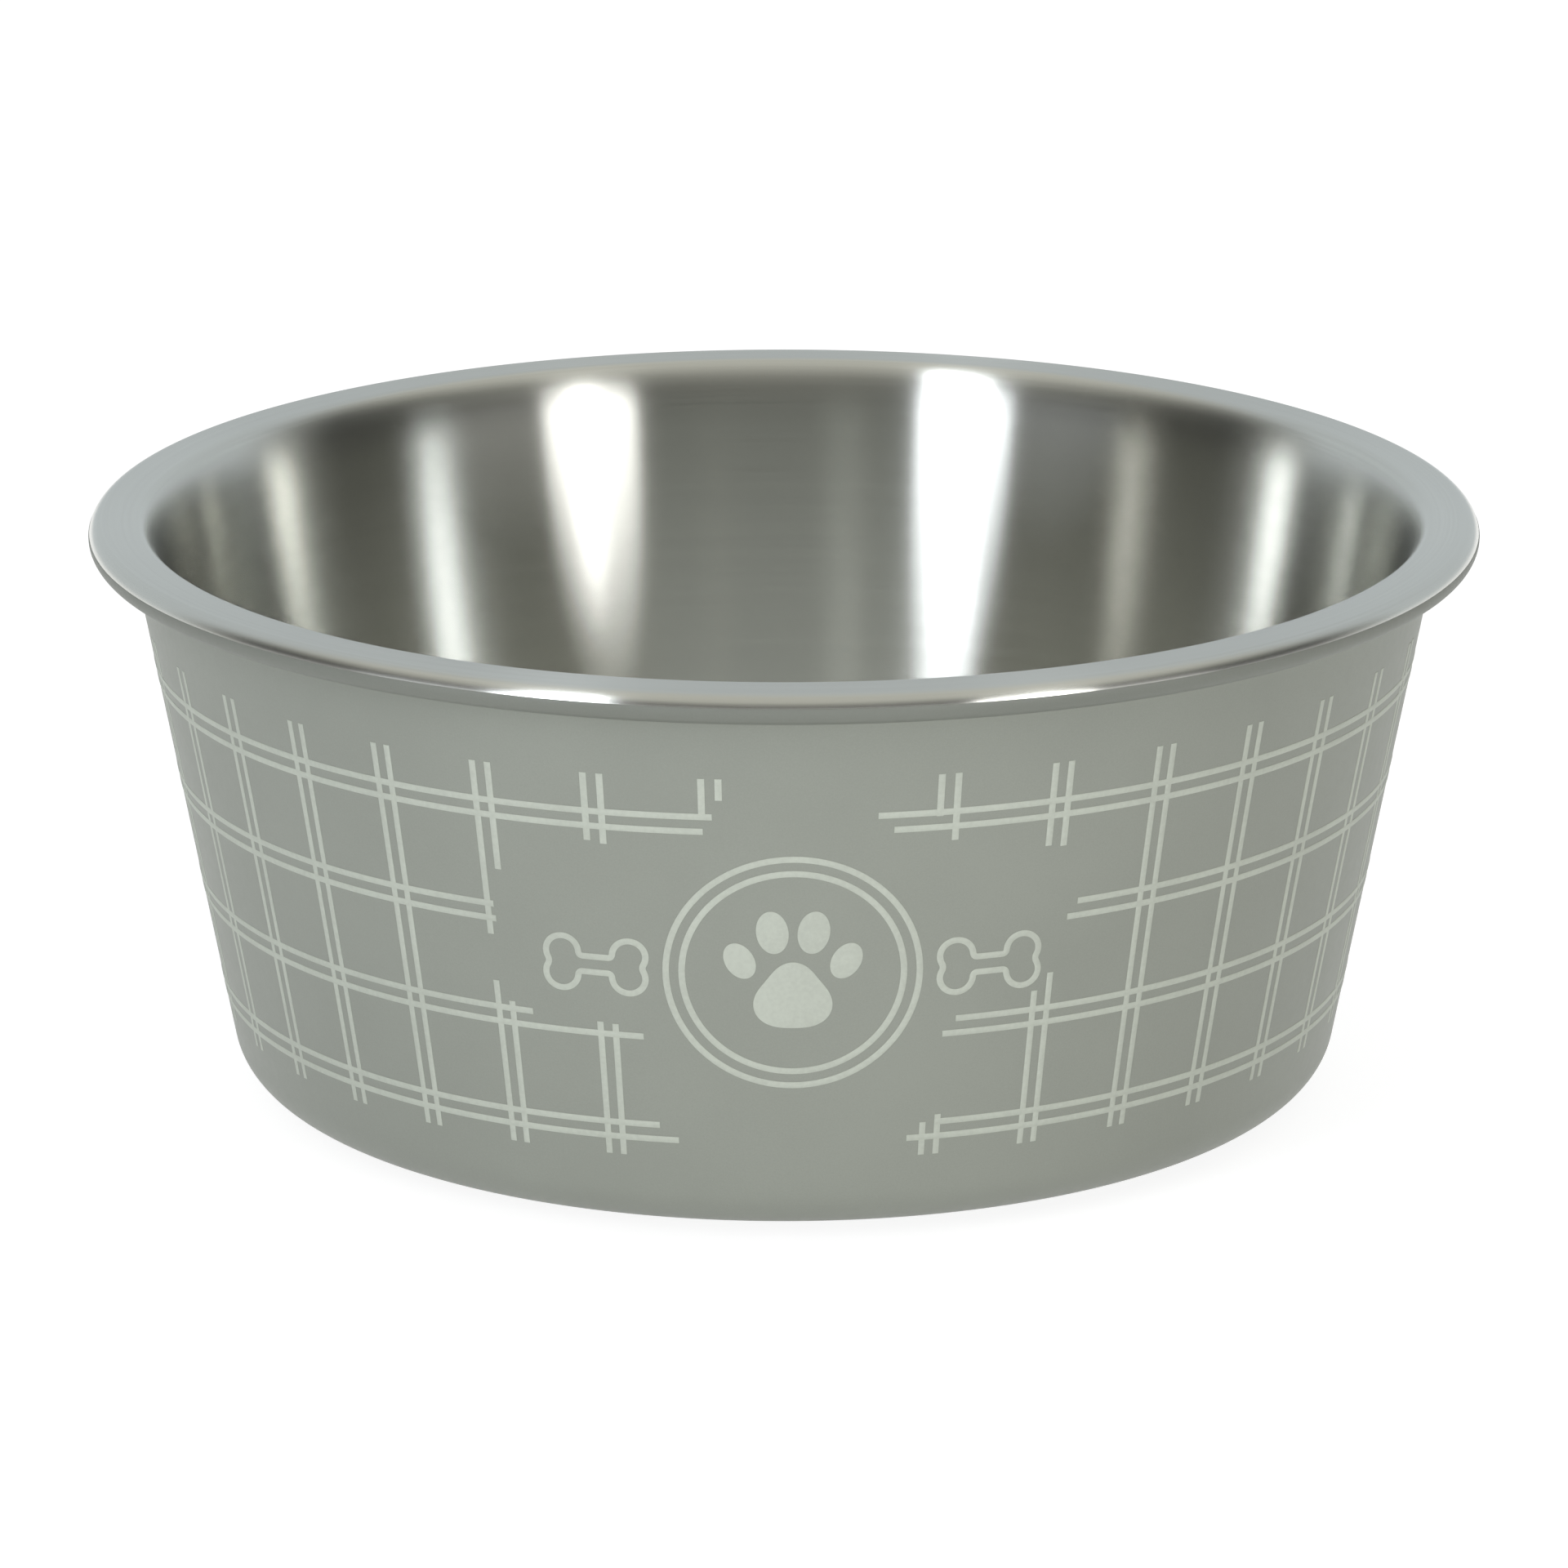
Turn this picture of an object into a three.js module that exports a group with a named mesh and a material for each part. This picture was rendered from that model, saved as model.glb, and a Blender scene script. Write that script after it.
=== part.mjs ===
// A double-walled pet food bowl. A bare steel inner bowl hangs in a lacquered outer shell: its flat rim lies on
// the shell's flange and is rolled around it. A rubber ring is bonded into a recess of the base.
// Millimetres, +Z up. The origin is on the floor, at the centre of the ring.

import * as THREE from 'three';

// Overall sizes
const rimDiameter = 210; // across the rolled edge
const bodyHeight = 86.8; // lacquered base to the top of the rim
const rimOverhang = 5.58; // rolled edge past the outer wall, with the wall carried up to the rim
const baseDiameter = 166.6; // outer wall carried down to the base
const baseCorner = 8; // outside radius between the outer wall and the base

// Inner bowl
const bowlSheet = 0.8;
const wallSpace = 2; // air between the two walls
const floorSpace = 5; // air between the two floors
const mouthRadius = 3.5; // food-side radius between the wall and the rim
const floorCorner = 14; // food-side radius between the wall and the floor

// Outer shell
const shellSheet = 0.8;
const shellBend = 1.2; // outside radius between the wall and the flange
const baseLand = 7; // flat of the base between its corner and the recess
const recessDepth = 1;
const recessDraft = 1; // run of the recess's sloping side

// Rolled seam
const lipHeight = 4.6; // of the rolled edge, which is round and hollow below the shell's flange
const seamClearance = 0.3; // between the shell's flange and the rim that lies on it
const hemTail = 2.6; // turned-back sheet under the flange

// Rubber ring and its adhesive
const ringWidth = 14;
const ringHeight = 2.5;
const ringClearance = 0.5; // ring to the side of the recess
const ringEdge = 0.4; // bevel of the ring's lower edges
const grooveCount = 3;
const grooveWidth = 1.2;
const grooveDepth = 0.6;
const adhesiveThickness = 0.3;
const adhesiveSetback = 1; // adhesive inside the ring's edges

// Facets
const facetsRound = 64;
const bendSteps = 4;
const cornerSteps = 5;
const lipSteps = 6;

// Heights, from the floor up
const recessCeiling = ringHeight + adhesiveThickness;
const baseBottom = recessCeiling - recessDepth;
const rimTop = baseBottom + bodyHeight;
const floorUnder = recessCeiling + shellSheet + floorSpace;
const floorTop = floorUnder + bowlSheet;

// The rolled edge, and the flange that lies in its upper half
const lipCentre = [rimDiameter / 2 - lipHeight / 2, rimTop - lipHeight / 2];
const flangeTop = rimTop - bowlSheet - seamClearance;
const flangeBottom = flangeTop - shellSheet;

// Both walls lean out by the same angle from upright
const wallRadiusAtRim = rimDiameter / 2 - rimOverhang;
const wallRadiusAtBase = baseDiameter / 2;
const lean = Math.atan2(wallRadiusAtRim - wallRadiusAtBase, bodyHeight);
const bowlOutside = shellSheet + wallSpace;
const bowlInside = bowlOutside + bowlSheet;

// Angles in the profile's half-plane of radius and height, counted from the radius axis
const down = -Math.PI / 2;
const up = Math.PI / 2;
const outOfWall = -lean;
const intoWall = Math.PI - lean;

// Radius, at height z, of the line that lies `inset` inside the outer wall's surface
function wallRadius(inset, z) {
  return wallRadiusAtBase + (z - baseBottom) * Math.tan(lean) - inset / Math.cos(lean);
}

// Points of an arc about a centre, from one angle to another
function arc([r, z], radius, from, to, steps) {
  return Array.from({ length: steps + 1 }, (_, i) => {
    const angle = from + ((to - from) * i) / steps;
    return [r + radius * Math.cos(angle), z + radius * Math.sin(angle)];
  });
}

// Centre of a corner with its floor at `floor`, inside a wall line
function cornerCentre(inset, floor, radius) {
  const z = floor + radius;
  return [wallRadius(inset, z) - radius / Math.cos(lean), z];
}

// Centre of a bend from a wall line outwards to a flange face at `flange`
function bendCentre(inset, flange, radius) {
  const z = flange - radius;
  return [wallRadius(inset, z) + radius / Math.cos(lean), z];
}

// A named solid of revolution about Z from an outline of [radius, height] points, counter-clockwise
function turned(name, outline, look) {
  const points = outline.map(([r, z]) => new THREE.Vector2(r, z));
  const geometry = new THREE.LatheGeometry(points, facetsRound).rotateX(Math.PI / 2);
  const mesh = new THREE.Mesh(geometry, new THREE.MeshStandardMaterial(look));
  mesh.name = name;
  return mesh;
}

// Food bowl, wall, rim and hem in one sheet, outlined from its underside round the hem to its food side
function innerBowl() {
  const corner = cornerCentre(bowlInside, floorTop, floorCorner);
  const mouth = bendCentre(bowlInside, rimTop, mouthRadius);
  const [lipRadius, lipMiddle] = lipCentre;
  const tailEnd = lipRadius - hemTail;
  const outline = [
    [0, floorUnder],
    ...arc(corner, floorCorner + bowlSheet, down, outOfWall, cornerSteps),
    ...arc(mouth, mouthRadius - bowlSheet, intoWall, up, bendSteps),
    ...arc(lipCentre, lipHeight / 2 - bowlSheet, up, down, lipSteps),
    [tailEnd, lipMiddle - lipHeight / 2 + bowlSheet],
    [tailEnd, lipMiddle - lipHeight / 2],
    ...arc(lipCentre, lipHeight / 2, down, up, lipSteps),
    ...arc(mouth, mouthRadius, up, intoWall, bendSteps),
    ...arc(corner, floorCorner, outOfWall, down, cornerSteps),
    [0, floorTop],
  ];
  return turned('inner_bowl', outline, { color: 0xb4b8b5, roughness: 0.3, metalness: 1 });
}

// The recess's outer edge on the base, and its edge at the ceiling
const baseCornerCentre = cornerCentre(0, baseBottom, baseCorner);
const recessRadius = baseCornerCentre[0] - baseLand;
const recessCeilingRadius = recessRadius - recessDraft;

// Lacquered shell, base, wall and flange in one sheet, outlined from below round the flange to its inside
function outerShell() {
  const bend = bendCentre(0, flangeBottom, shellBend);
  const flangeEnd = lipCentre[0];
  const stepShift = shellSheet * Math.tan(Math.atan2(recessDepth, recessDraft) / 2);
  const outline = [
    [0, recessCeiling],
    [recessCeilingRadius, recessCeiling],
    [recessRadius, baseBottom],
    ...arc(baseCornerCentre, baseCorner, down, outOfWall, cornerSteps),
    ...arc(bend, shellBend, intoWall, up, bendSteps),
    [flangeEnd, flangeBottom],
    [flangeEnd, flangeTop],
    ...arc(bend, shellBend + shellSheet, up, intoWall, bendSteps),
    ...arc(baseCornerCentre, baseCorner - shellSheet, outOfWall, down, cornerSteps),
    [recessRadius + stepShift, baseBottom + shellSheet],
    [recessCeilingRadius + stepShift, recessCeiling + shellSheet],
    [0, recessCeiling + shellSheet],
  ];
  return turned('outer_shell', outline, { color: 0x9c9d98, roughness: 0.5, metalness: 0 });
}

const ringOuter = recessCeilingRadius - ringClearance;
const ringInner = ringOuter - ringWidth;

// Rubber ring with round grip grooves in its underside
function nonSlipRing() {
  const pitch = ringWidth / (grooveCount + 1);
  const grooves = Array.from({ length: grooveCount }, (_, i) => {
    const middle = ringInner + pitch * (i + 1);
    return [
      [middle - grooveWidth / 2, 0],
      [middle - grooveWidth / 4, grooveDepth],
      [middle + grooveWidth / 4, grooveDepth],
      [middle + grooveWidth / 2, 0],
    ];
  });
  const outline = [
    [ringInner, ringEdge],
    [ringInner + ringEdge, 0],
    ...grooves.flat(),
    [ringOuter - ringEdge, 0],
    [ringOuter, ringEdge],
    [ringOuter, ringHeight],
    [ringInner, ringHeight],
    [ringInner, ringEdge],
  ];
  return turned('non_slip_ring', outline, { color: 0x2e2e2d, roughness: 0.85, metalness: 0 });
}

// Flat adhesive ring between the rubber and the recess's ceiling
function ringAdhesive() {
  const inner = ringInner + adhesiveSetback;
  const outer = ringOuter - adhesiveSetback;
  const outline = [
    [inner, ringHeight],
    [outer, ringHeight],
    [outer, recessCeiling],
    [inner, recessCeiling],
    [inner, ringHeight],
  ];
  return turned('ring_adhesive', outline, { color: 0xd9d5c9, roughness: 0.6, metalness: 0 });
}

const bowl = new THREE.Group();
bowl.add(innerBowl(), outerShell(), nonSlipRing(), ringAdhesive());

export default bowl;
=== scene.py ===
import bpy
import numpy as np
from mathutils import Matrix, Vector


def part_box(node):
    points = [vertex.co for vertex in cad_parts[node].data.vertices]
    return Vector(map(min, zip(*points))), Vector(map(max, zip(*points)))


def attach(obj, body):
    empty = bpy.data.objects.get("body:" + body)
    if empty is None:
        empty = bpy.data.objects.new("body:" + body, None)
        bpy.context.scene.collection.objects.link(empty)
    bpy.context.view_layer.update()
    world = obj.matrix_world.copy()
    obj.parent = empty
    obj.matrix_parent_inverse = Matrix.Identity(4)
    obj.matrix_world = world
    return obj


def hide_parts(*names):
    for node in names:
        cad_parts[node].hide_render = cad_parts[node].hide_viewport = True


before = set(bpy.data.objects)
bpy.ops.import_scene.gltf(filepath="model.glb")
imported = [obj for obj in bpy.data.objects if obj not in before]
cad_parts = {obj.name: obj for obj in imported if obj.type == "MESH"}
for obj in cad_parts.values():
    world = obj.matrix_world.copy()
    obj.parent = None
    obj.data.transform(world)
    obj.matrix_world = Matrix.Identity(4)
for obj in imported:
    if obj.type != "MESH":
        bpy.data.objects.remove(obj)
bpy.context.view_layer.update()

# A double-walled food bowl: a bare steel bowl rolled over a lacquered, printed shell, on a rubber ring.
# Metres, +Z up, the front of the print faces -Y. Angles round the bowl run from the front to the right.
mm = 0.001
bowlLow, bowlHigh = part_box("inner_bowl")
shellLow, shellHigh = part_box("outer_shell")
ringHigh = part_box("non_slip_ring")[1]
glueLow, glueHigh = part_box("ring_adhesive")

creaseAngle = np.radians(32.0)  # edges that turn more than this are shaded sharp


# Meshes: every piece is a list of parts, and a part is an array of points with a list of face arrays
def addPiece(name, parts, finish):
    points = np.vstack([part[0] for part in parts])
    starts = np.cumsum([0] + [len(part[0]) for part in parts[:-1]])
    blocks = [block + start for start, part in zip(starts, parts) for block in part[1]]
    faces = [face for block in blocks for face in block.tolist()]
    mesh = bpy.data.meshes.new(name)
    mesh.from_pydata(points.tolist(), [], faces)
    mesh.shade_smooth()
    mesh.set_sharp_from_angle(angle=creaseAngle)
    mesh.materials.append(finish)
    piece = bpy.data.objects.new(name, mesh)
    bpy.context.scene.collection.objects.link(piece)
    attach(piece, "root")
    print("made", name, "with", len(faces), "faces")
    return piece


# Quads between neighbouring rows of a grid of point numbers; rows and columns may each close on themselves
def gridQuads(index, closedRows, closedColumns):
    if closedRows:
        index = np.vstack((index, index[:1]))
    if closedColumns:
        index = np.hstack((index, index[:, :1]))
    corners = (index[:-1, :-1], index[:-1, 1:], index[1:, 1:], index[1:, :-1])
    return np.stack(corners, axis=-1).reshape(-1, 4)


# Triangles from one pole point to a closed row of point numbers
def poleFan(pole, row):
    return np.column_stack((np.full(len(row), pole), row, np.roll(row, -1)))


# Points on a circle in the plane of radius and height, in equal steps of angle
def arcPoints(centre, radius, start, stop, count):
    angle = np.linspace(start, stop, count)
    return np.column_stack((centre[0] + radius * np.cos(angle), centre[1] + radius * np.sin(angle)))


# Splits each straight step of an outline into equal steps no longer than the given length
def fillSteps(outline, longest):
    step = np.diff(outline, axis=0)
    pieces = np.maximum(1, np.ceil(np.hypot(step[:, 0], step[:, 1]) / longest)).astype(int)
    which = np.repeat(np.arange(len(step)), pieces)
    first = np.repeat(np.cumsum(pieces) - pieces, pieces)
    share = (np.arange(len(which)) - first) / pieces[which]
    return np.vstack((outline[which] + step[which] * share[:, None], outline[-1:]))


# Turned surface: the outline's point (r, h) goes to (r sin a, -r cos a, h) for every angle a round the axis.
# An outline that starts and ends on the axis gets a pole there, and any other one closes on itself.
def turned(outline, columns):
    onAxis = outline[0, 0] == 0
    body = outline[1:-1] if onAxis else outline
    angle = np.arange(columns) * (2 * np.pi / columns)
    radius = body[:, :1]
    height = np.repeat(body[:, 1:], columns, axis=1)
    points = np.stack((radius * np.sin(angle), -radius * np.cos(angle), height), axis=-1).reshape(-1, 3)
    index = np.arange(len(points)).reshape(len(body), columns)
    faces = [gridQuads(index, not onAxis, True)]
    if onAxis:
        poles = np.array([[0, 0, outline[0, 1]], [0, 0, outline[-1, 1]]])
        faces.append(poleFan(len(points), index[0][::-1]))
        faces.append(poleFan(len(points) + 1, index[-1]))
        points = np.vstack((points, poles))
    return points, faces


# Shader maths: a Graph adds nodes to a tree, and a Signal is an output socket that Python's operators work on
class Graph:
    def __init__(self, tree):
        self.tree = tree
        tree.nodes.clear()

    def node(self, kind, settings, sockets, out=0):
        node = self.tree.nodes.new(kind)
        for name, value in settings.items():
            setattr(node, name, value)
        for name, value in sockets.items():
            if isinstance(value, Signal):
                self.tree.links.new(value.socket, node.inputs[name])
            else:
                node.inputs[name].default_value = value
        return Signal(self, node.outputs[out]) if node.outputs else node

    # A colour mix: its factor and two colours are inputs 0, 6 and 7, and its colour is output 2
    def blend(self, factor, first, second):
        return self.node("ShaderNodeMix", {"data_type": "RGBA"}, {0: factor, 6: first, 7: second}, out=2)

    def noise(self, vector, scale, detail, roughness=0.5):
        sockets = {"Vector": vector, "Scale": scale, "Detail": detail, "Roughness": roughness}
        return self.node("ShaderNodeTexNoise", {}, sockets)

    def bump(self, height, distance, strength):
        sockets = {"Height": height, "Distance": distance, "Strength": strength}
        return self.node("ShaderNodeBump", {}, sockets)

    def objectPlace(self):
        return self.node("ShaderNodeTexCoord", {}, {}, out="Object")


class Signal:
    def __init__(self, graph, socket):
        self.graph = graph
        self.socket = socket

    def maths(self, operation, first, second=0.0, clamp=False):
        settings = {"operation": operation, "use_clamp": clamp}
        return self.graph.node("ShaderNodeMath", settings, {0: first, 1: second})

    def __add__(self, other):
        return self.maths("ADD", self, other)

    def __sub__(self, other):
        return self.maths("SUBTRACT", self, other)

    def __rsub__(self, other):
        return self.maths("SUBTRACT", other, self)

    def __mul__(self, other):
        return self.maths("MULTIPLY", self, other)

    def __pow__(self, other):
        return self.maths("POWER", self, other)

    __radd__ = __add__
    __rmul__ = __mul__

    def clamped(self):
        return self.maths("ADD", self, 0.0, clamp=True)

    # A share of this signal and the rest of another one
    def mixed(self, share, other):
        return self * share + other * (1 - share)

    # A noise between 0 and 1, made to swing about zero by the given amount
    def swing(self, amount):
        return (self - 0.5) * amount

    # 0 below low, 1 above high and a smooth step between them
    def smooth(self, low, high):
        settings = {"interpolation_type": "SMOOTHSTEP"}
        return self.graph.node("ShaderNodeMapRange", settings, {0: self, 1: low, 2: high, 3: 0.0, 4: 1.0})

    def axis(self, name):
        return self.graph.node("ShaderNodeSeparateXYZ", {}, {0: self}, out=name)


# A new material and the graph of its nodes, still empty
def finishGraph(name):
    material = bpy.data.materials.new(name)
    material.use_nodes = True
    return material, Graph(material.node_tree)


# Closes a material's graph with a Principled shader whose sockets take the given values or links
def finishWith(graph, sockets):
    shader = graph.node("ShaderNodeBsdfPrincipled", {}, sockets)
    graph.node("ShaderNodeOutputMaterial", {}, {"Surface": shader})


# Bare steel, brushed round the axis: noise that changes fast with radius and height and slowly round the bowl
def makeBrushedSteel():
    steel = {
        "dark": (0.70, 0.70, 0.655, 1), "bright": (0.75, 0.75, 0.705, 1), "toneRange": (0.25, 0.75),
        "linesPerMetre": 2600, "linesAround": 14, "lineShare": 0.7, "cloudsPerMetre": 22.0,
        "roughness": 0.225, "grainRoughness": 0.04,
        "grainDepth": 0.002 * mm, "grainStrength": 0.5,
        "anisotropy": 1.0, "quarterTurn": 0.25,
    }
    material, graph = finishGraph("brushedSteel")
    place = graph.objectPlace()
    x, y, z = place.axis("X"), place.axis("Y"), place.axis("Z")
    radius = (x * x + y * y) ** 0.5
    stretched = graph.node("ShaderNodeCombineXYZ", {}, {
        "X": x * steel["linesAround"], "Y": y * steel["linesAround"], "Z": z * steel["linesPerMetre"]})
    grain = graph.node("ShaderNodeTexNoise", {"noise_dimensions": "4D"}, {
        "Vector": stretched, "W": radius * steel["linesPerMetre"],
        "Scale": 1.0, "Detail": 3.0, "Roughness": 0.6})
    cloud = graph.noise(place, steel["cloudsPerMetre"], detail=2.0)
    tone = grain.mixed(steel["lineShare"], cloud).smooth(*steel["toneRange"])
    finishWith(graph, {
        "Base Color": graph.blend(tone, steel["dark"], steel["bright"]),
        "Roughness": steel["roughness"] + grain.swing(steel["grainRoughness"]),
        "Metallic": 1.0,
        "Anisotropic": steel["anisotropy"],
        "Anisotropic Rotation": steel["quarterTurn"],
        "Normal": graph.bump(grain, steel["grainDepth"], steel["grainStrength"]),
    })
    return material


# Satin lacquer: a little mottling, fine flecks and a sprayed skin; the painted-shade factor darkens its
# colour as a whole, so a value below 1 makes a copy with shade painted into it
def makeLacquer(name, paintedShade):
    lacquer = {
        "deep": (0.282 * paintedShade, 0.295 * paintedShade, 0.255 * paintedShade, 1),
        "pale": (0.306 * paintedShade, 0.320 * paintedShade, 0.277 * paintedShade, 1), "toneRange": (0.3, 0.7),
        "mottlesPerMetre": 30.0, "mottleShare": 0.6, "flecksPerMetre": 4200,
        "roughness": 0.46, "peelRoughness": 0.12,
        "peelPerMetre": 700, "peelDepth": 0.02 * mm, "peelStrength": 0.35,
    }
    material, graph = finishGraph(name)
    place = graph.objectPlace()
    mottle = graph.noise(place, lacquer["mottlesPerMetre"], detail=3.0)
    fleck = graph.noise(place, lacquer["flecksPerMetre"], detail=1.0)
    peel = graph.noise(place, lacquer["peelPerMetre"], detail=2.0)
    tone = mottle.mixed(lacquer["mottleShare"], fleck).smooth(*lacquer["toneRange"])
    finishWith(graph, {
        "Base Color": graph.blend(tone, lacquer["deep"], lacquer["pale"]),
        "Roughness": lacquer["roughness"] + peel.swing(lacquer["peelRoughness"]),
        "Normal": graph.bump(peel, lacquer["peelDepth"], lacquer["peelStrength"]),
    })
    return material


# Screen-printed cream ink, a little thinner in places so that the lacquer shows through
def makeInk():
    ink = {
        "full": (0.544, 0.573, 0.497, 1), "thin": (0.487, 0.512, 0.444, 1), "toneRange": (0.3, 0.68),
        "coverPerMetre": 1500.0, "coverShare": 0.5, "patchesPerMetre": 90.0,
        "roughness": 0.55, "coverRoughness": 0.15,
        "coverDepth": 0.01 * mm, "coverStrength": 0.3,
    }
    material, graph = finishGraph("creamInk")
    place = graph.objectPlace()
    cover = graph.noise(place, ink["coverPerMetre"], detail=2.0)
    patch = graph.noise(place, ink["patchesPerMetre"], detail=2.0)
    tone = cover.mixed(ink["coverShare"], patch).smooth(*ink["toneRange"])
    finishWith(graph, {
        "Base Color": graph.blend(tone, ink["thin"], ink["full"]),
        "Roughness": ink["roughness"] + cover.swing(ink["coverRoughness"]),
        "Normal": graph.bump(cover, ink["coverDepth"], ink["coverStrength"]),
    })
    return material


# Moulded black rubber: a matte, slightly grained skin with pale dust in places
def makeRubber():
    rubber = {
        "clean": (0.030, 0.030, 0.029, 1), "dusty": (0.060, 0.059, 0.056, 1), "toneRange": (0.35, 0.75),
        "dustPerMetre": 60.0, "dustShare": 0.7, "skinPerMetre": 2200.0,
        "roughness": 0.8, "skinRoughness": 0.2,
        "skinDepth": 0.03 * mm, "skinStrength": 0.4,
    }
    material, graph = finishGraph("blackRubber")
    place = graph.objectPlace()
    skin = graph.noise(place, rubber["skinPerMetre"], detail=2.0)
    dust = graph.noise(place, rubber["dustPerMetre"], detail=4.0, roughness=0.65)
    tone = dust.mixed(rubber["dustShare"], skin).smooth(*rubber["toneRange"])
    finishWith(graph, {
        "Base Color": graph.blend(tone, rubber["clean"], rubber["dusty"]),
        "Roughness": rubber["roughness"] + skin.swing(rubber["skinRoughness"]),
        "Normal": graph.bump(skin, rubber["skinDepth"], rubber["skinStrength"]),
    })
    return material


# Pale adhesive film with a cloudy, slightly wrinkled body
def makeAdhesive():
    film = {
        "clear": (0.62, 0.59, 0.50, 1), "cloudy": (0.74, 0.71, 0.62, 1), "toneRange": (0.3, 0.7),
        "cloudsPerMetre": 300.0, "roughness": 0.5, "cloudRoughness": 0.2,
        "wrinkleDepth": 0.02 * mm, "wrinkleStrength": 0.3,
    }
    material, graph = finishGraph("adhesiveFilm")
    place = graph.objectPlace()
    cloud = graph.noise(place, film["cloudsPerMetre"], detail=3.0)
    finishWith(graph, {
        "Base Color": graph.blend(cloud.smooth(*film["toneRange"]), film["clear"], film["cloudy"]),
        "Roughness": film["roughness"] + cloud.swing(film["cloudRoughness"]),
        "Normal": graph.bump(cloud, film["wrinkleDepth"], film["wrinkleStrength"]),
    })
    return material


brushedSteel = makeBrushedSteel()
greyLacquer = makeLacquer("greyLacquer", paintedShade=1.0)
# the rolled edge's lacquer is the wall's lacquer darkened to 0.66, painted shade standing in for the shade
# under the rim
edgeLacquerPaintedShade = makeLacquer("edgeLacquerPaintedShade", paintedShade=0.66)
creamInk = makeInk()
blackRubber = makeRubber()
adhesiveFilm = makeAdhesive()
print("finishes mixed")

# Both pressings follow one leaning wall line, given by the overhang of the rim and the radius at the base
walls = {
    "sheet": 0.8 * mm,
    "rimOverhang": 5.58 * mm,  # rolled edge past the outer wall carried up to the rim
    "baseRadius": 83.3 * mm,  # outer wall carried down to the base
    "longestStep": 6.0 * mm,
    "columns": 288,
}
rimTop = bowlHigh.z
rimRadius = bowlHigh.x
baseBottom = shellLow.z
sheet = walls["sheet"]
lean = np.arctan2(rimRadius - walls["rimOverhang"] - walls["baseRadius"], rimTop - baseBottom)
down, up, outOfWall, intoWall = -np.pi / 2, np.pi / 2, -lean, np.pi - lean  # angles from the radius axis


# Radius at a height of the cone that lies a given inset inside the outer wall's face
def wallRadius(height, inset=0.0):
    return walls["baseRadius"] + (height - baseBottom) * np.tan(lean) - inset / np.cos(lean)


# Centre of the round between a wall line and a floor below it
def cornerCentre(inset, floorHeight, radius):
    height = floorHeight + radius
    return np.array([wallRadius(height, inset) - radius / np.cos(lean), height])


# Centre of the round between a wall line and a flange that runs outwards from its top
def bendCentre(inset, flangeHeight, radius):
    height = flangeHeight - radius
    return np.array([wallRadius(height, inset) + radius / np.cos(lean), height])


# Rolled edge of the rim: a round lip whose sheet is turned back under the shell's flange
lip = {"round": 2.3 * mm, "hemTail": 2.6 * mm}
lipCentre = np.array([rimRadius - lip["round"], rimTop - lip["round"]])
tailEnd, tailLow = lipCentre - (lip["hemTail"], lip["round"])


# Bend from the rim into the wall: a parabola that leaves the rim level, tight at first, and runs out along
# the wall, with the mitre of the two lines as its middle point. The depth moves it square into the sheet.
def bendPoints(mitre, rimRun, wallRun, depth, count):
    share = np.linspace(0, 1, count)[:, None]
    alongRim = np.array([-rimRun, 0])
    alongWall = -wallRun * np.array([np.sin(lean), np.cos(lean)])
    points = mitre - (1 - share) ** 2 * alongRim + share ** 2 * alongWall
    ahead = (1 - share) * alongRim + share * alongWall
    intoSheet = np.column_stack((-ahead[:, 1], ahead[:, 0])) / np.hypot(ahead[:, 0], ahead[:, 1])[:, None]
    return points + intoSheet * depth


# Inner bowl: floor, wall, flat rim, and its edge rolled down and back under the flange
def makeInnerBowl():
    bowl = {
        "wallSpace": 2.4 * mm, "floorCorner": 14 * mm, "rimRun": 2.5 * mm, "wallRun": 10 * mm,
        # points on each round, on the hidden side of the sheet and on the side in view
        "cornerPoints": (14, 18), "bendPoints": (16, 24), "lipPoints": (14, 24),
    }
    backCorner, faceCorner = bowl["cornerPoints"]
    backBend, faceBend = bowl["bendPoints"]
    backLip, faceLip = bowl["lipPoints"]
    inset = sheet + bowl["wallSpace"] + sheet
    floorUnder = bowlLow.z
    floorTop = floorUnder + sheet
    corner = cornerCentre(inset, floorTop, bowl["floorCorner"])
    mitre = np.array([wallRadius(rimTop, inset), rimTop])
    outline = np.vstack((
        [[0, floorUnder]],
        arcPoints(corner, bowl["floorCorner"] + sheet, down, outOfWall, backCorner),
        bendPoints(mitre, bowl["rimRun"], bowl["wallRun"], sheet, backBend)[::-1],
        arcPoints(lipCentre, lip["round"] - sheet, up, down, backLip),
        [[tailEnd, tailLow + sheet], [tailEnd, tailLow]],
        arcPoints(lipCentre, lip["round"], down, up, faceLip),
        bendPoints(mitre, bowl["rimRun"], bowl["wallRun"], 0, faceBend),
        arcPoints(corner, bowl["floorCorner"], outOfWall, down, faceCorner),
        [[0, floorTop]],
    ))
    part = turned(fillSteps(outline, walls["longestStep"]), walls["columns"])
    piece = addPiece("innerBowl", [part], brushedSteel)
    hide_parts("inner_bowl")


# Lacquer sprayed on the rolled edge from below: a thin skin that follows the lip and the turned-back sheet,
# in the darkened lacquer, so its colour is painted shade under the rim
def makeLipLacquerPaintedShade():
    coat = {
        "skin": 0.06 * mm, "points": 20,
        "outerStart": 10.0, "innerStart": 12.0,  # degrees above the lip's middle
    }
    skin = coat["skin"]
    outerStart, innerStart = np.radians(coat["outerStart"]), np.radians(coat["innerStart"])
    outline = np.vstack((
        arcPoints(lipCentre, lip["round"] - skin, innerStart, down, coat["points"]),
        [[tailEnd + skin, tailLow + skin], [tailEnd + skin, tailLow - skin]],
        arcPoints(lipCentre, lip["round"] + skin, down, outerStart, coat["points"]),
    ))
    addPiece("lipLacquerPaintedShade", [turned(outline, walls["columns"])], edgeLacquerPaintedShade)


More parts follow.
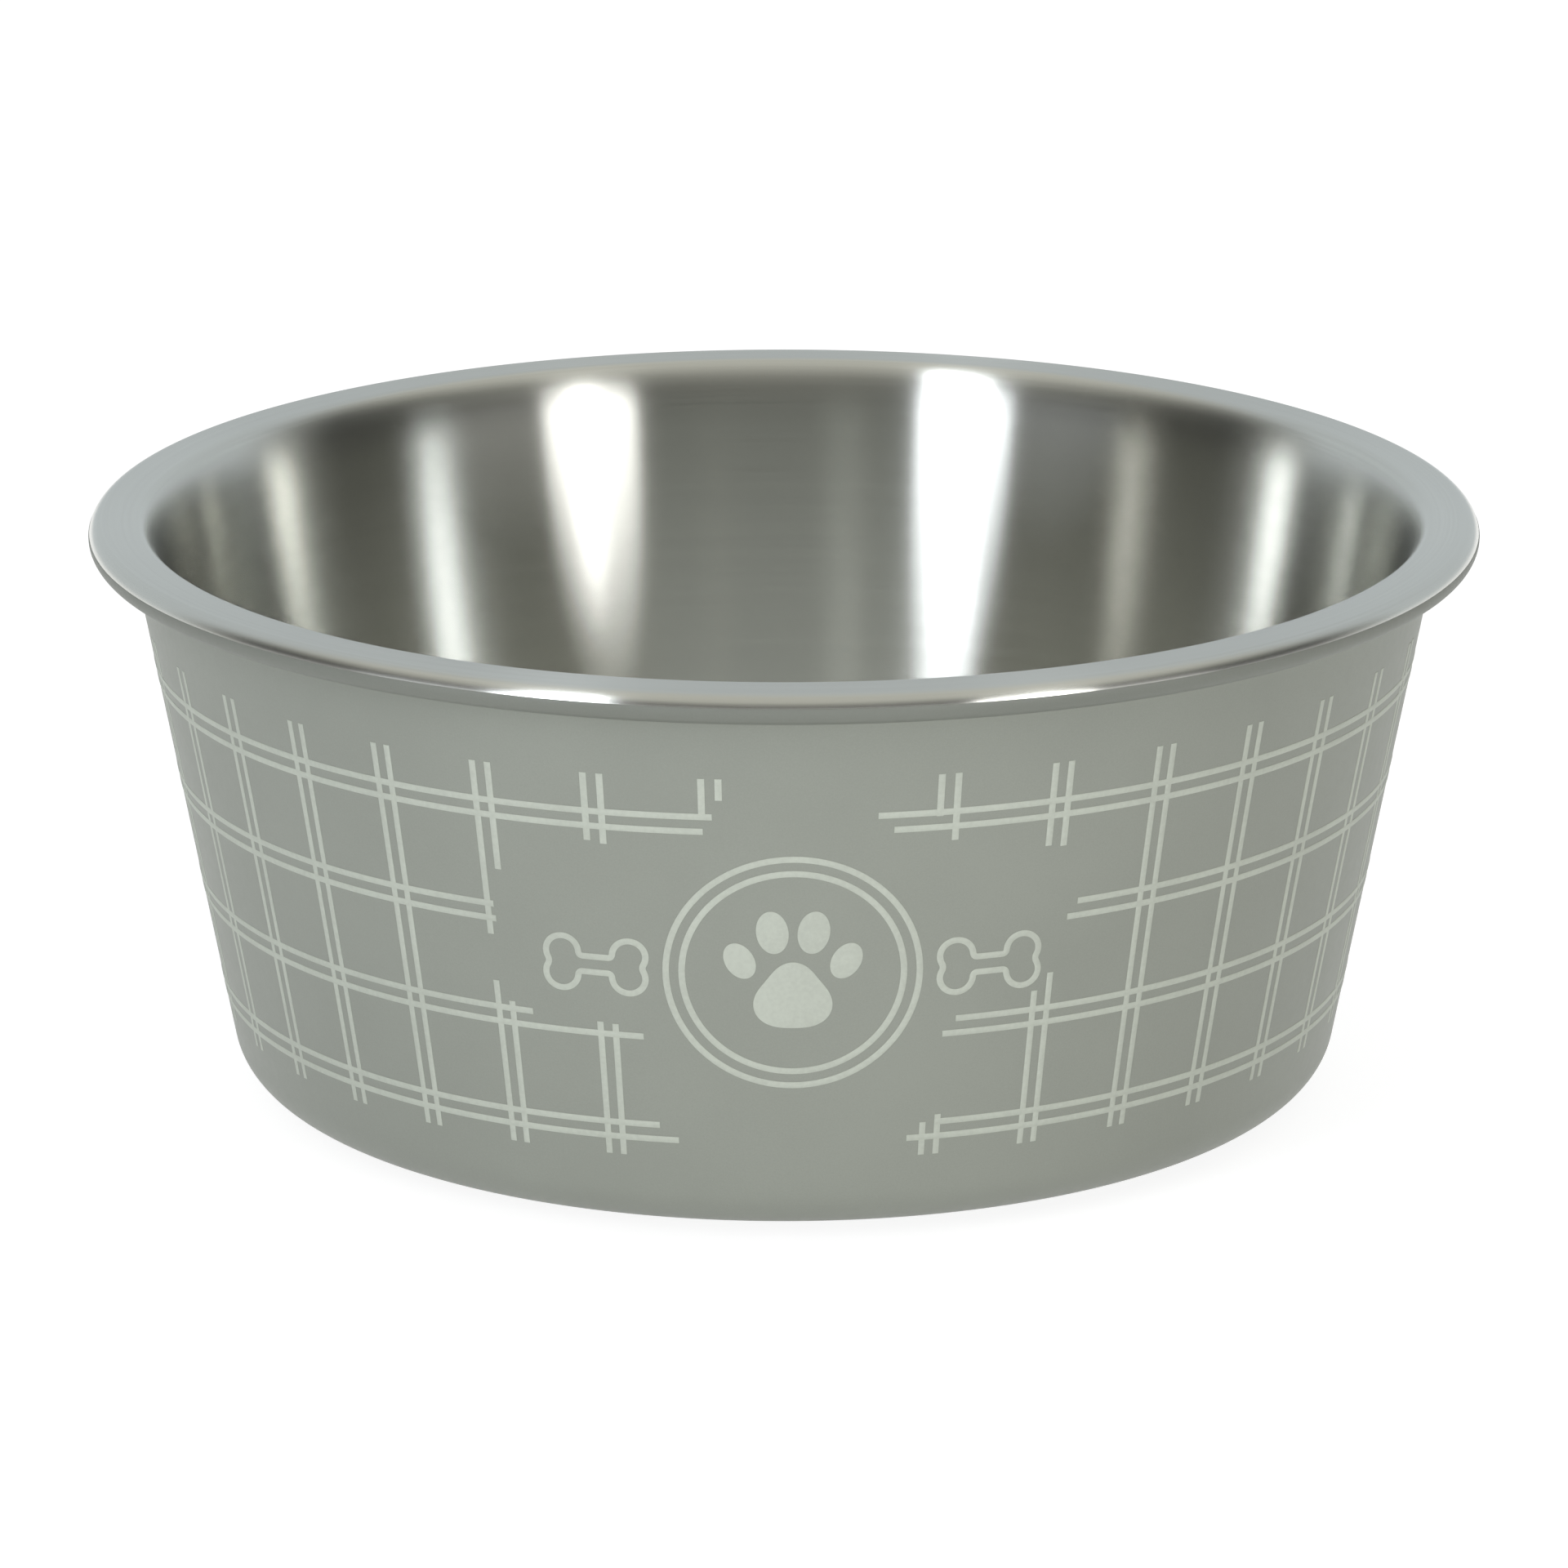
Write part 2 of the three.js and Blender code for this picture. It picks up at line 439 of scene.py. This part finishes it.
# Outer shell: recessed base, round corner, leaning wall and the narrow flange caught in the rolled edge
def makeOuterShell():
    shell = {
        "baseCorner": 8 * mm, "bend": 1.2 * mm, "land": 7 * mm, "recessDraft": 1 * mm,
        "cornerPoints": (14, 18), "bendPoints": 8,  # on the hidden side of the corner and on the side in view
    }
    backCorner, faceCorner = shell["cornerPoints"]
    flangeEnd, flangeTop = shellHigh.x, shellHigh.z
    flangeBottom = flangeTop - sheet
    recessCeiling = glueHigh.z
    corner = cornerCentre(0.0, baseBottom, shell["baseCorner"])
    bend = bendCentre(0.0, flangeBottom, shell["bend"])
    recessRadius = corner[0] - shell["land"]
    ceilingRadius = recessRadius - shell["recessDraft"]
    slope = np.arctan2(recessCeiling - baseBottom, shell["recessDraft"])
    stepShift = sheet * np.tan(slope / 2)
    outline = np.vstack((
        [[0, recessCeiling], [ceilingRadius, recessCeiling], [recessRadius, baseBottom]],
        arcPoints(corner, shell["baseCorner"], down, outOfWall, faceCorner),
        arcPoints(bend, shell["bend"], intoWall, up, shell["bendPoints"]),
        [[flangeEnd, flangeBottom], [flangeEnd, flangeTop]],
        arcPoints(bend, shell["bend"] + sheet, up, intoWall, shell["bendPoints"]),
        arcPoints(corner, shell["baseCorner"] - sheet, outOfWall, down, backCorner),
        [[recessRadius + stepShift, baseBottom + sheet], [ceilingRadius + stepShift, recessCeiling + sheet]],
        [[0, recessCeiling + sheet]],
    ))
    part = turned(fillSteps(outline, walls["longestStep"]), walls["columns"])
    piece = addPiece("outerShell", [part], greyLacquer)
    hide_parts("outer_shell")


# The rubber ring and its adhesive share a width and a number of columns
ring = {"width": 14 * mm, "columns": 192}
ringOuter = ringHigh.x
ringInner = ringOuter - ring["width"]


# Rubber ring: round lower edges and three grip grooves in the underside. A groove's height is its depth times
# a power of the cosine across its width.
def makeRubberRing():
    tread = {
        "edge": 0.4 * mm, "edgePoints": 6,
        "grooves": 3, "grooveWidth": 1.2 * mm, "grooveDepth": 0.6 * mm,
        "groovePower": 0.7, "groovePoints": 9,
    }
    top = ringHigh.z
    edge = tread["edge"]
    middles = ringInner + ring["width"] / (tread["grooves"] + 1) * np.arange(1, tread["grooves"] + 1)
    across = np.linspace(-0.5, 0.5, tread["groovePoints"])
    grooveR = middles[:, None] + across * tread["grooveWidth"]
    arch = tread["grooveDepth"] * np.cos(across * np.pi) ** tread["groovePower"]
    grooveH = np.broadcast_to(arch, grooveR.shape)
    outline = np.vstack((
        arcPoints((ringInner + edge, edge), edge, np.pi, 1.5 * np.pi, tread["edgePoints"]),
        np.column_stack((grooveR.ravel(), grooveH.ravel())),
        arcPoints((ringOuter - edge, edge), edge, down, 0, tread["edgePoints"]),
        [[ringOuter, top], [ringInner, top]],
    ))
    piece = addPiece("rubberRing", [turned(outline, ring["columns"])], blackRubber)
    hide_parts("non_slip_ring")


# Adhesive ring between the rubber and the base
def makeAdhesiveRing():
    film = {"setback": 1 * mm}
    inner, outer = ringInner + film["setback"], glueHigh.x
    low, high = glueLow.z, glueHigh.z
    outline = np.array([[inner, low], [outer, low], [outer, high], [inner, high]])
    piece = addPiece("adhesiveRing", [turned(outline, ring["columns"])], adhesiveFilm)
    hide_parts("ring_adhesive")


makeInnerBowl()
makeLipLacquerPaintedShade()
makeOuterShell()
makeRubberRing()
makeAdhesiveRing()
print("bowl turned")


# Point of the outer wall at an angle from the front and a height, raised square to the wall by the lift
def wallPoint(angle, height, lift):
    radius = wallRadius(height) + lift * np.cos(lean)
    return np.stack((radius * np.sin(angle), -radius * np.cos(angle), height - lift * np.sin(lean)), axis=-1)


# Section of an ink line: shares of the line's width across it and of the film's thickness above the lacquer
inkSection = np.array([[-0.5, -1.0], [0.5, -1.0], [0.5, 0.5], [0.42, 1.0], [-0.42, 1.0], [-0.5, 0.5]])
inkEnd = np.array([[0, 1, 2, 5], [2, 3, 4, 5]])  # the section's points as two quads, for the ends of a line

# Section of an ink patch: shares of the way from its centre to its outline and of the film's thickness
patchSection = np.array([[0.3, 1.0], [0.6, 1.0], [0.95, 1.0], [1.0, 0.5], [1.0, -1.0]])


# Ink line: the section is carried along a flat path (s, t), square to it, and laid on the wall by `lay`
def inkLine(path, width, film, lay, closed=False):
    ahead = np.roll(path, -1, axis=0) - np.roll(path, 1, axis=0) if closed else np.gradient(path, axis=0)
    across = np.column_stack((ahead[:, 1], -ahead[:, 0])) / np.hypot(ahead[:, 0], ahead[:, 1])[:, None]
    flat = path[:, None, :] + across[:, None, :] * (inkSection[:, 0] * width)[None, :, None]
    lift = np.broadcast_to(inkSection[:, 1] * film, flat.shape[:2])
    points = lay(flat, lift).reshape(-1, 3)
    index = np.arange(len(points)).reshape(len(path), len(inkSection))
    faces = [gridQuads(index, closed, True)]
    if not closed:
        faces.append(np.vstack((index[0][inkEnd[:, ::-1]], index[-1][inkEnd])))
    return points, faces


# Ink patch: a closed flat outline drawn in towards its centre in rings, flat on top with a soft edge
def inkPatch(outline, film, lay):
    centre = outline.mean(axis=0)
    share, level = patchSection.T
    flat = centre + (outline - centre)[None] * share[:, None, None]
    lift = np.broadcast_to((level * film)[:, None], flat.shape[:2])
    poles = lay(np.stack((centre, centre)), np.array([film, -film]))
    points = lay(flat, lift).reshape(-1, 3)
    index = np.arange(len(points)).reshape(len(share), len(outline))
    faces = [
        gridQuads(index[::-1], False, True),
        poleFan(len(points), index[0][::-1]),
        poleFan(len(points) + 1, index[-1]),
    ]
    return np.vstack((points, poles)), faces


# Printed check: pairs of level lines round the wall and pairs of upright lines up it, left open at the front
check = {
    "width": 0.95 * mm, "pairGap": 2.3 * mm, "film": 0.05 * mm, "overprint": 0.065 * mm,
    "lowestPair": 15.96 * mm, "pairPitch": 16.42 * mm, "middle": 42 * mm,  # heights above the base
    "tilt": 0.46 * mm,  # the print sits a little askew and climbs to the right
    "pairs": range(-17, 18), "pairTurn": 10.13, "firstPair": -6.23,  # angles in degrees
    "bottom": 11.95 * mm, "top": 72.3 * mm,
    "levelPoints": 340, "uprightPoints": 9,
    # degrees where each level line, from the top one down, stops left of the open panel and goes on beyond it
    "levelStops": [
        (-6.1, 8.0), (-6.9, 9.4), (-26.6, 26.9), (-26.5, 26.0),
        (-23.7, 15.9), (-13.0, 14.7), (-11.9, 14.5), (-10.1, 11.8),
    ],
    # millimetres where the left and right line of a pair stop above the panel and go on below it; a stop at
    # the top or bottom of the print leaves no line there
    "uprightStops": {
        -2: ((45.1, 37.7), (55.6, 34.7)), -1: ((61.8, 33.1), (61.4, 32.9)),
        0: ((66.0, 11.95), (69.0, 11.95)), 1: ((72.3, 11.95), (72.3, 11.95)),
        2: ((65.8, 17.2), (61.9, 18.3)), 3: ((59.4, 36.5), (59.1, 39.1)),
    },
}
checkRadius = wallRadius(baseBottom + check["middle"])


# Lays (length round the wall at mid height, height above the base) on the wall, tilted by a sine of the angle
def layCheck(flat, lift):
    angle = flat[..., 0] / checkRadius
    return wallPoint(angle, baseBottom + flat[..., 1] + check["tilt"] * np.sin(angle), lift)


def makeCheckPrint():
    parts = []
    topPair = len(check["levelStops"]) // 2 - 1
    for number, (left, right) in enumerate(check["levelStops"]):
        pair, lower = divmod(number, 2)
        pairHeight = check["lowestPair"] + (topPair - pair) * check["pairPitch"]
        height = pairHeight + (0.5 - lower) * check["pairGap"]
        angle = np.linspace(np.radians(right), np.radians(360 + left), check["levelPoints"])
        path = np.column_stack((angle * checkRadius, np.full(len(angle), height)))
        parts.append(inkLine(path, check["width"], check["overprint"], layCheck))
    for pair in check["pairs"]:
        middle = np.radians(check["firstPair"] + pair * check["pairTurn"]) * checkRadius
        stops = check["uprightStops"].get(pair, (None, None))
        for side, stop in zip((-0.5, 0.5), stops):
            across = middle + side * check["pairGap"]
            spans = [(check["bottom"], check["top"])]
            if stop:
                spans = [(stop[0] * mm, check["top"]), (check["bottom"], stop[1] * mm)]
            for low, high in spans:
                if high - low < check["width"]:
                    continue
                height = np.linspace(low, high, check["uprightPoints"])
                path = np.column_stack((np.full(len(height), across), height))
                parts.append(inkLine(path, check["width"], check["film"], layCheck))
    addPiece("checkPrint", parts, creamInk)


# Front emblem: a paw print in a double ring with a bone on each side
emblem = {
    "height": 42.0 * mm, "turn": 0.8, "film": 0.055 * mm, "line": 0.95 * mm,
    "rings": (18.2 * mm, 15.9 * mm), "roundPoints": 96,
    "boneAway": 28.6 * mm, "boneLength": 10.0 * mm, "boneKnob": 2.5 * mm,
    "boneSpread": 1.75 * mm, "boneShank": 1.25 * mm,
    "knobPoints": 40, "bonePoints": 240,
    "boneSoftening": 3,  # points on each side that the outline is averaged over
    "padSize": 5.9 * mm, "padDrop": 3.5 * mm, "padShape": (0.9, 0.10, 0.09),
    # toes in millimetres: (across, up, half width, half length, degrees of tilt)
    "toes": [
        (-7.6, 1.9, 2.1, 3.0, 28), (-2.95, 6.5, 2.3, 3.4, 8),
        (2.95, 6.5, 2.3, 3.4, -8), (7.6, 1.9, 2.1, 3.0, -28),
    ],
}


# Lays (length across, length up the wall) from the emblem's middle on the wall
def layEmblem(flat, lift):
    height = baseBottom + emblem["height"] + flat[..., 1] * np.cos(lean)
    return wallPoint(np.radians(emblem["turn"]) + flat[..., 0] / wallRadius(height), height, lift)


# Bone outline: an arc round each of the four knobs, joined by the shank's straight sides and rounded a little
def boneOutline(away):
    knob, spread, shank = emblem["boneKnob"], emblem["boneSpread"], emblem["boneShank"]
    start = np.pi + np.arcsin((spread - shank) / knob)
    stop = -np.arcsin(spread / knob)
    upper = arcPoints((emblem["boneLength"] / 2, spread), knob, start, stop, emblem["knobPoints"])
    lower = upper[::-1] * (1, -1)
    corners = np.vstack((upper, lower, -upper, -lower, upper[:1]))
    length = np.concatenate(([0], np.cumsum(np.hypot(*np.diff(corners, axis=0).T))))
    even = np.linspace(0, length[-1], emblem["bonePoints"], endpoint=False)
    path = np.column_stack((np.interp(even, length, corners[:, 0]), np.interp(even, length, corners[:, 1])))
    shifts = range(-emblem["boneSoftening"], emblem["boneSoftening"] + 1)
    rounded = np.mean([np.roll(path, shift, axis=0) for shift in shifts], axis=0)
    return rounded + (away, 0)


def makeEmblemPrint():
    around = np.linspace(0, 2 * np.pi, emblem["roundPoints"], endpoint=False)
    circle = np.column_stack((np.cos(around), np.sin(around)))
    outlines = [circle * radius for radius in emblem["rings"]]
    outlines += [boneOutline(away) for away in (-emblem["boneAway"], emblem["boneAway"])]
    parts = [inkLine(outline, emblem["line"], emblem["film"], layEmblem, closed=True) for outline in outlines]
    # pad: its radius at the angle a is its size times (bulk - foot sin a - corner sin 3a), a rounded triangle
    bulk, foot, corner = emblem["padShape"]
    reach = emblem["padSize"] * (bulk - foot * np.sin(around) - corner * np.sin(3 * around))
    parts.append(inkPatch(circle * reach[:, None] - (0, emblem["padDrop"]), emblem["film"], layEmblem))
    for across, high, halfWidth, halfLength, tilt in emblem["toes"]:
        turn = np.radians(tilt)
        oval = circle * (halfWidth * mm, halfLength * mm)
        spin = np.array([[np.cos(turn), np.sin(turn)], [-np.sin(turn), np.cos(turn)]])
        parts.append(inkPatch(oval @ spin + (across * mm, high * mm), emblem["film"], layEmblem))
    addPiece("emblemPrint", parts, creamInk)


makeCheckPrint()
makeEmblemPrint()
print("print laid on")


# Stage: a pale floor that shows white to the camera and in the steel and keeps a soft shadow
def makeFloor():
    stage = {
        "half": 2.6, "pale": (0.90, 0.90, 0.90, 1),
        "shown": (0.30, 0.30, 0.30, 1), "white": (1, 1, 1, 1), "glow": 0.87,
    }
    material, graph = finishGraph("paleFloor")
    rays = ("Is Camera Ray", "Is Glossy Ray", "Is Transmission Ray")
    camera, glossy, through = [graph.node("ShaderNodeLightPath", {}, {}, out=ray) for ray in rays]
    seen = (camera + glossy + through).clamped()
    plain = graph.node("ShaderNodeBsdfDiffuse", {}, {"Color": stage["pale"]})
    shadow = graph.node("ShaderNodeBsdfDiffuse", {}, {"Color": stage["shown"]})
    glow = graph.node("ShaderNodeEmission", {}, {"Color": stage["white"], "Strength": stage["glow"]})
    shown = graph.node("ShaderNodeAddShader", {}, {0: shadow, 1: glow})
    surface = graph.node("ShaderNodeMixShader", {}, {0: seen, 1: plain, 2: shown})
    graph.node("ShaderNodeOutputMaterial", {}, {"Surface": surface})
    half = stage["half"]
    corners = [(-half, -half, 0), (half, -half, 0), (half, half, 0), (-half, half, 0)]
    mesh = bpy.data.meshes.new("floor")
    mesh.from_pydata(corners, [], [(0, 1, 2, 3)])
    mesh.materials.append(material)
    floor = bpy.data.objects.new("floor", mesh)
    bpy.context.scene.collection.objects.link(floor)


# Room: pale behind and above the bowl, dim in front and at both sides, for the camera and the steel alike
def makeRoom():
    room = {
        "side": 0.012, "front": 0.05, "pale": 0.585,  # brightness
        "warm": (1.0, 1.0, 0.92, 1), "cool": (0.93, 1.0, 1.04, 1),
        # parts of a direction between which the back and the ceiling fade in and the front fades out
        "behind": (0.05, 0.55), "above": (0.35, 0.8), "ahead": (-1.0, -0.7),
    }
    world = bpy.data.worlds.new("studio")
    world.use_nodes = True
    bpy.context.scene.world = world
    graph = Graph(world.node_tree)
    way = graph.node("ShaderNodeTexCoord", {}, {}, out="Generated")
    behind = way.axis("Y").smooth(*room["behind"])
    above = way.axis("Z").smooth(*room["above"])
    ahead = 1 - way.axis("Y").smooth(*room["ahead"])
    sky = 1 - (1 - behind) * (1 - above)
    level = room["side"] + ahead * room["front"] + sky * room["pale"]
    tint = graph.blend(behind, room["warm"], room["cool"])
    background = graph.node("ShaderNodeBackground", {}, {"Color": tint, "Strength": level})
    graph.node("ShaderNodeOutputWorld", {}, {"Surface": background})


# Soft boxes in front of the bowl, two on each side, a dim card farther round that only the steel shows, and
# fills in front and behind that the steel doesn't show
def makeLamps():
    plain = (1.0, 1.0, 1.0)
    cool = (0.955, 1.0, 1.08)
    aim = Vector((0, 0, 50 * mm))
    lamps = {
        # degrees to the right of the camera, degrees up, metres away, width, height, brightness, tint
        "leftLow": (-36.0, 9.0, 1.25, 0.43, 0.52, 5.2, cool),
        "leftHigh": (-36.5, 28.0, 1.25, 0.24, 0.90, 5.8, cool),
        "rightLow": (38.7, 8.0, 1.25, 0.43, 0.47, 5.6, plain),
        "rightCore": (40.0, 8.0, 1.25, 0.15, 0.32, 9.0, plain),
        "leftCard": (-56.0, 5.0, 1.25, 0.62, 0.24, 0.8, cool),
        "rightCard": (56.0, 5.0, 1.25, 0.62, 0.24, 0.8, plain),
        "frontFill": (5.0, 4.0, 1.50, 1.00, 0.80, 1.6, plain),
        "backFill": (180.0, 15.0, 1.50, 1.00, 0.80, 1.5, plain),
    }
    for name, (turn, rise, away, width, height, brightness, tint) in lamps.items():
        turn, rise = np.radians(turn), np.radians(rise)
        toward = Vector((np.sin(turn) * np.cos(rise), -np.cos(turn) * np.cos(rise), np.sin(rise)))
        area = np.pi * width * height / 4
        data = bpy.data.lights.new(name, "AREA")
        data.shape = "ELLIPSE"
        data.size = width
        data.size_y = height
        data.energy = brightness * np.pi * area
        data.color = tint
        lamp = bpy.data.objects.new(name, data)
        lamp.location = toward * away + aim
        lamp.rotation_euler = (-toward).to_track_quat("-Z", "Y").to_euler()
        lamp.visible_camera = False
        lamp.visible_glossy = not name.endswith("Fill")
        lamp.visible_diffuse = not name.endswith("Card")
        bpy.context.scene.collection.objects.link(lamp)


# Camera in front of the bowl, aimed at its axis from above
def makeCamera():
    view = {"aimHeight": 44.8 * mm, "away": 1.2, "rise": 16.53, "lens": 180.0}  # rise in degrees
    rise = np.radians(view["rise"])
    toward = Vector((0, -np.cos(rise), np.sin(rise)))
    data = bpy.data.cameras.new("mainCamera")
    data.lens = view["lens"]
    camera = bpy.data.objects.new("mainCamera", data)
    camera.location = Vector((0, 0, view["aimHeight"])) + toward * view["away"]
    camera.rotation_euler = (-toward).to_track_quat("-Z", "Y").to_euler()
    bpy.context.scene.collection.objects.link(camera)
    bpy.context.scene.camera = camera


makeFloor()
makeRoom()
makeLamps()
makeCamera()
bpy.context.scene.view_settings.view_transform = "Standard"
print("stage lit")
